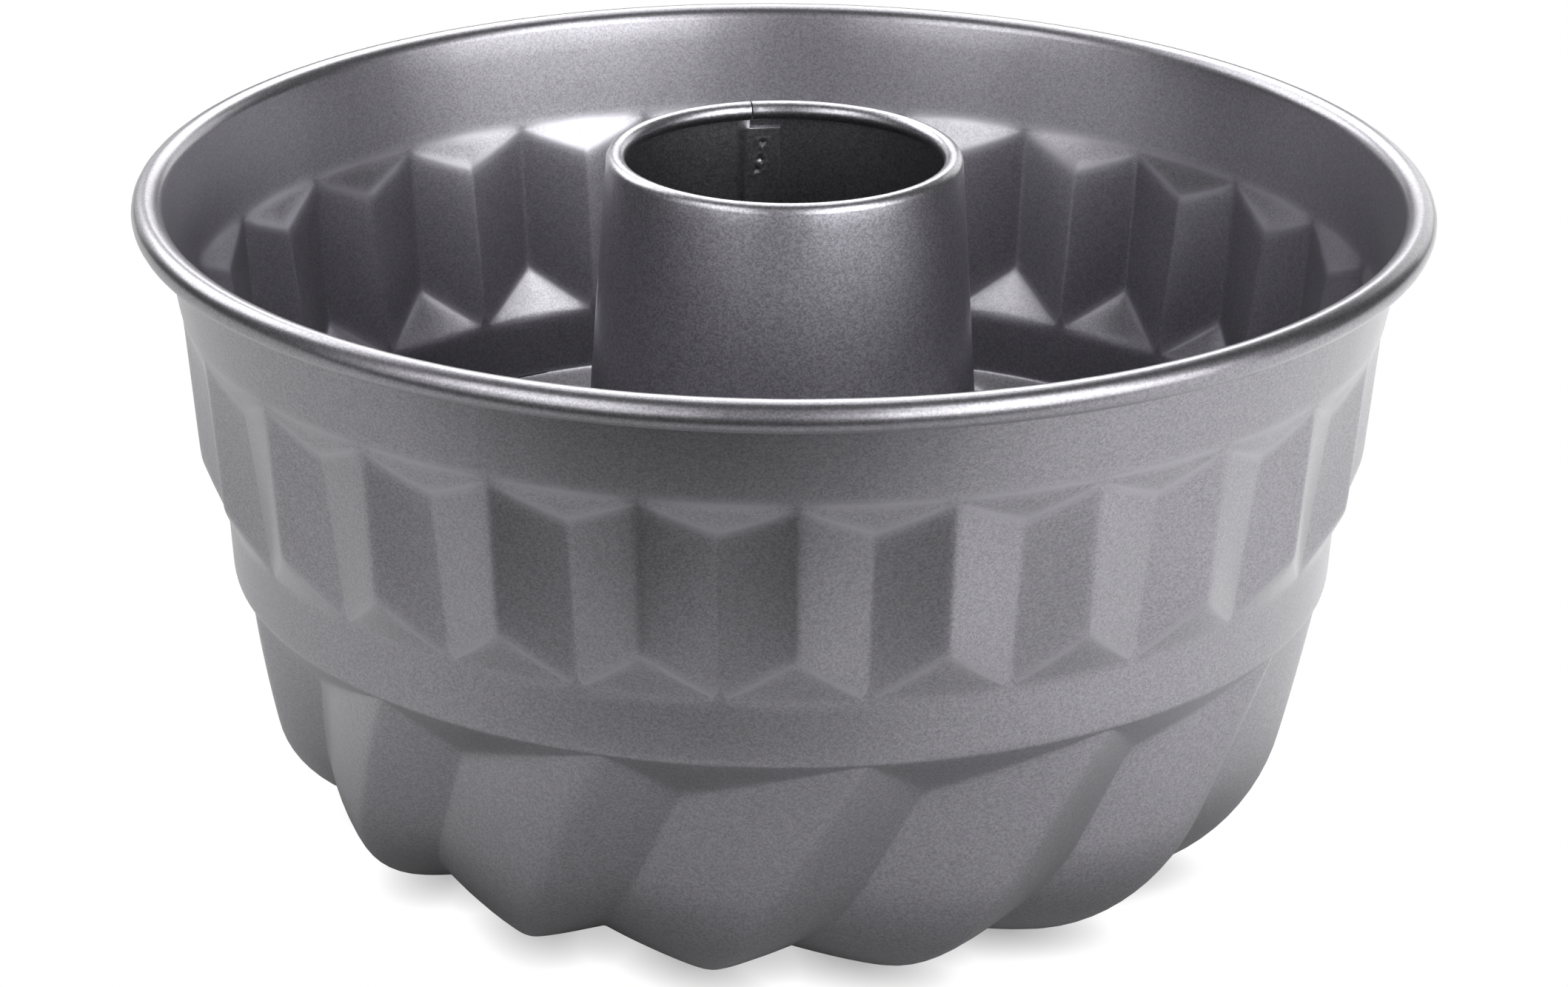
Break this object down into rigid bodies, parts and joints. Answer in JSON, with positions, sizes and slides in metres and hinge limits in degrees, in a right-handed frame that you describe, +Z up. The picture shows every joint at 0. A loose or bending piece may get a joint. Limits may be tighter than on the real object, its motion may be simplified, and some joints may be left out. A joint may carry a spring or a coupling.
{
  "type": "bundt pan",
  "caption": "Round ring-shaped baking pan with a faceted upper tier, a lower tier of swirled flutes, a rolled rim and an open tapered chimney.",
  "frame": {"origin": "on the pan's axis, at the level of the surface that its lobes stand on", "axes": "+Z up along the chimney's axis; -Y is the side opposite the chimney's lap seam"},
  "size_m": [0.22, 0.22, 0.1215],
  "materials": {
    "coating": "dark grey non-stick coating with fine metallic flecks, satin",
    "wire": "bare drawn steel wire"
  },
  "bodies": {
    "root": {"bowl_shell": "coating", "rim_wire": "wire", "chimney_tube": "coating", "chimney_seam_welds": "coating"}
  },
  "joints": []
}
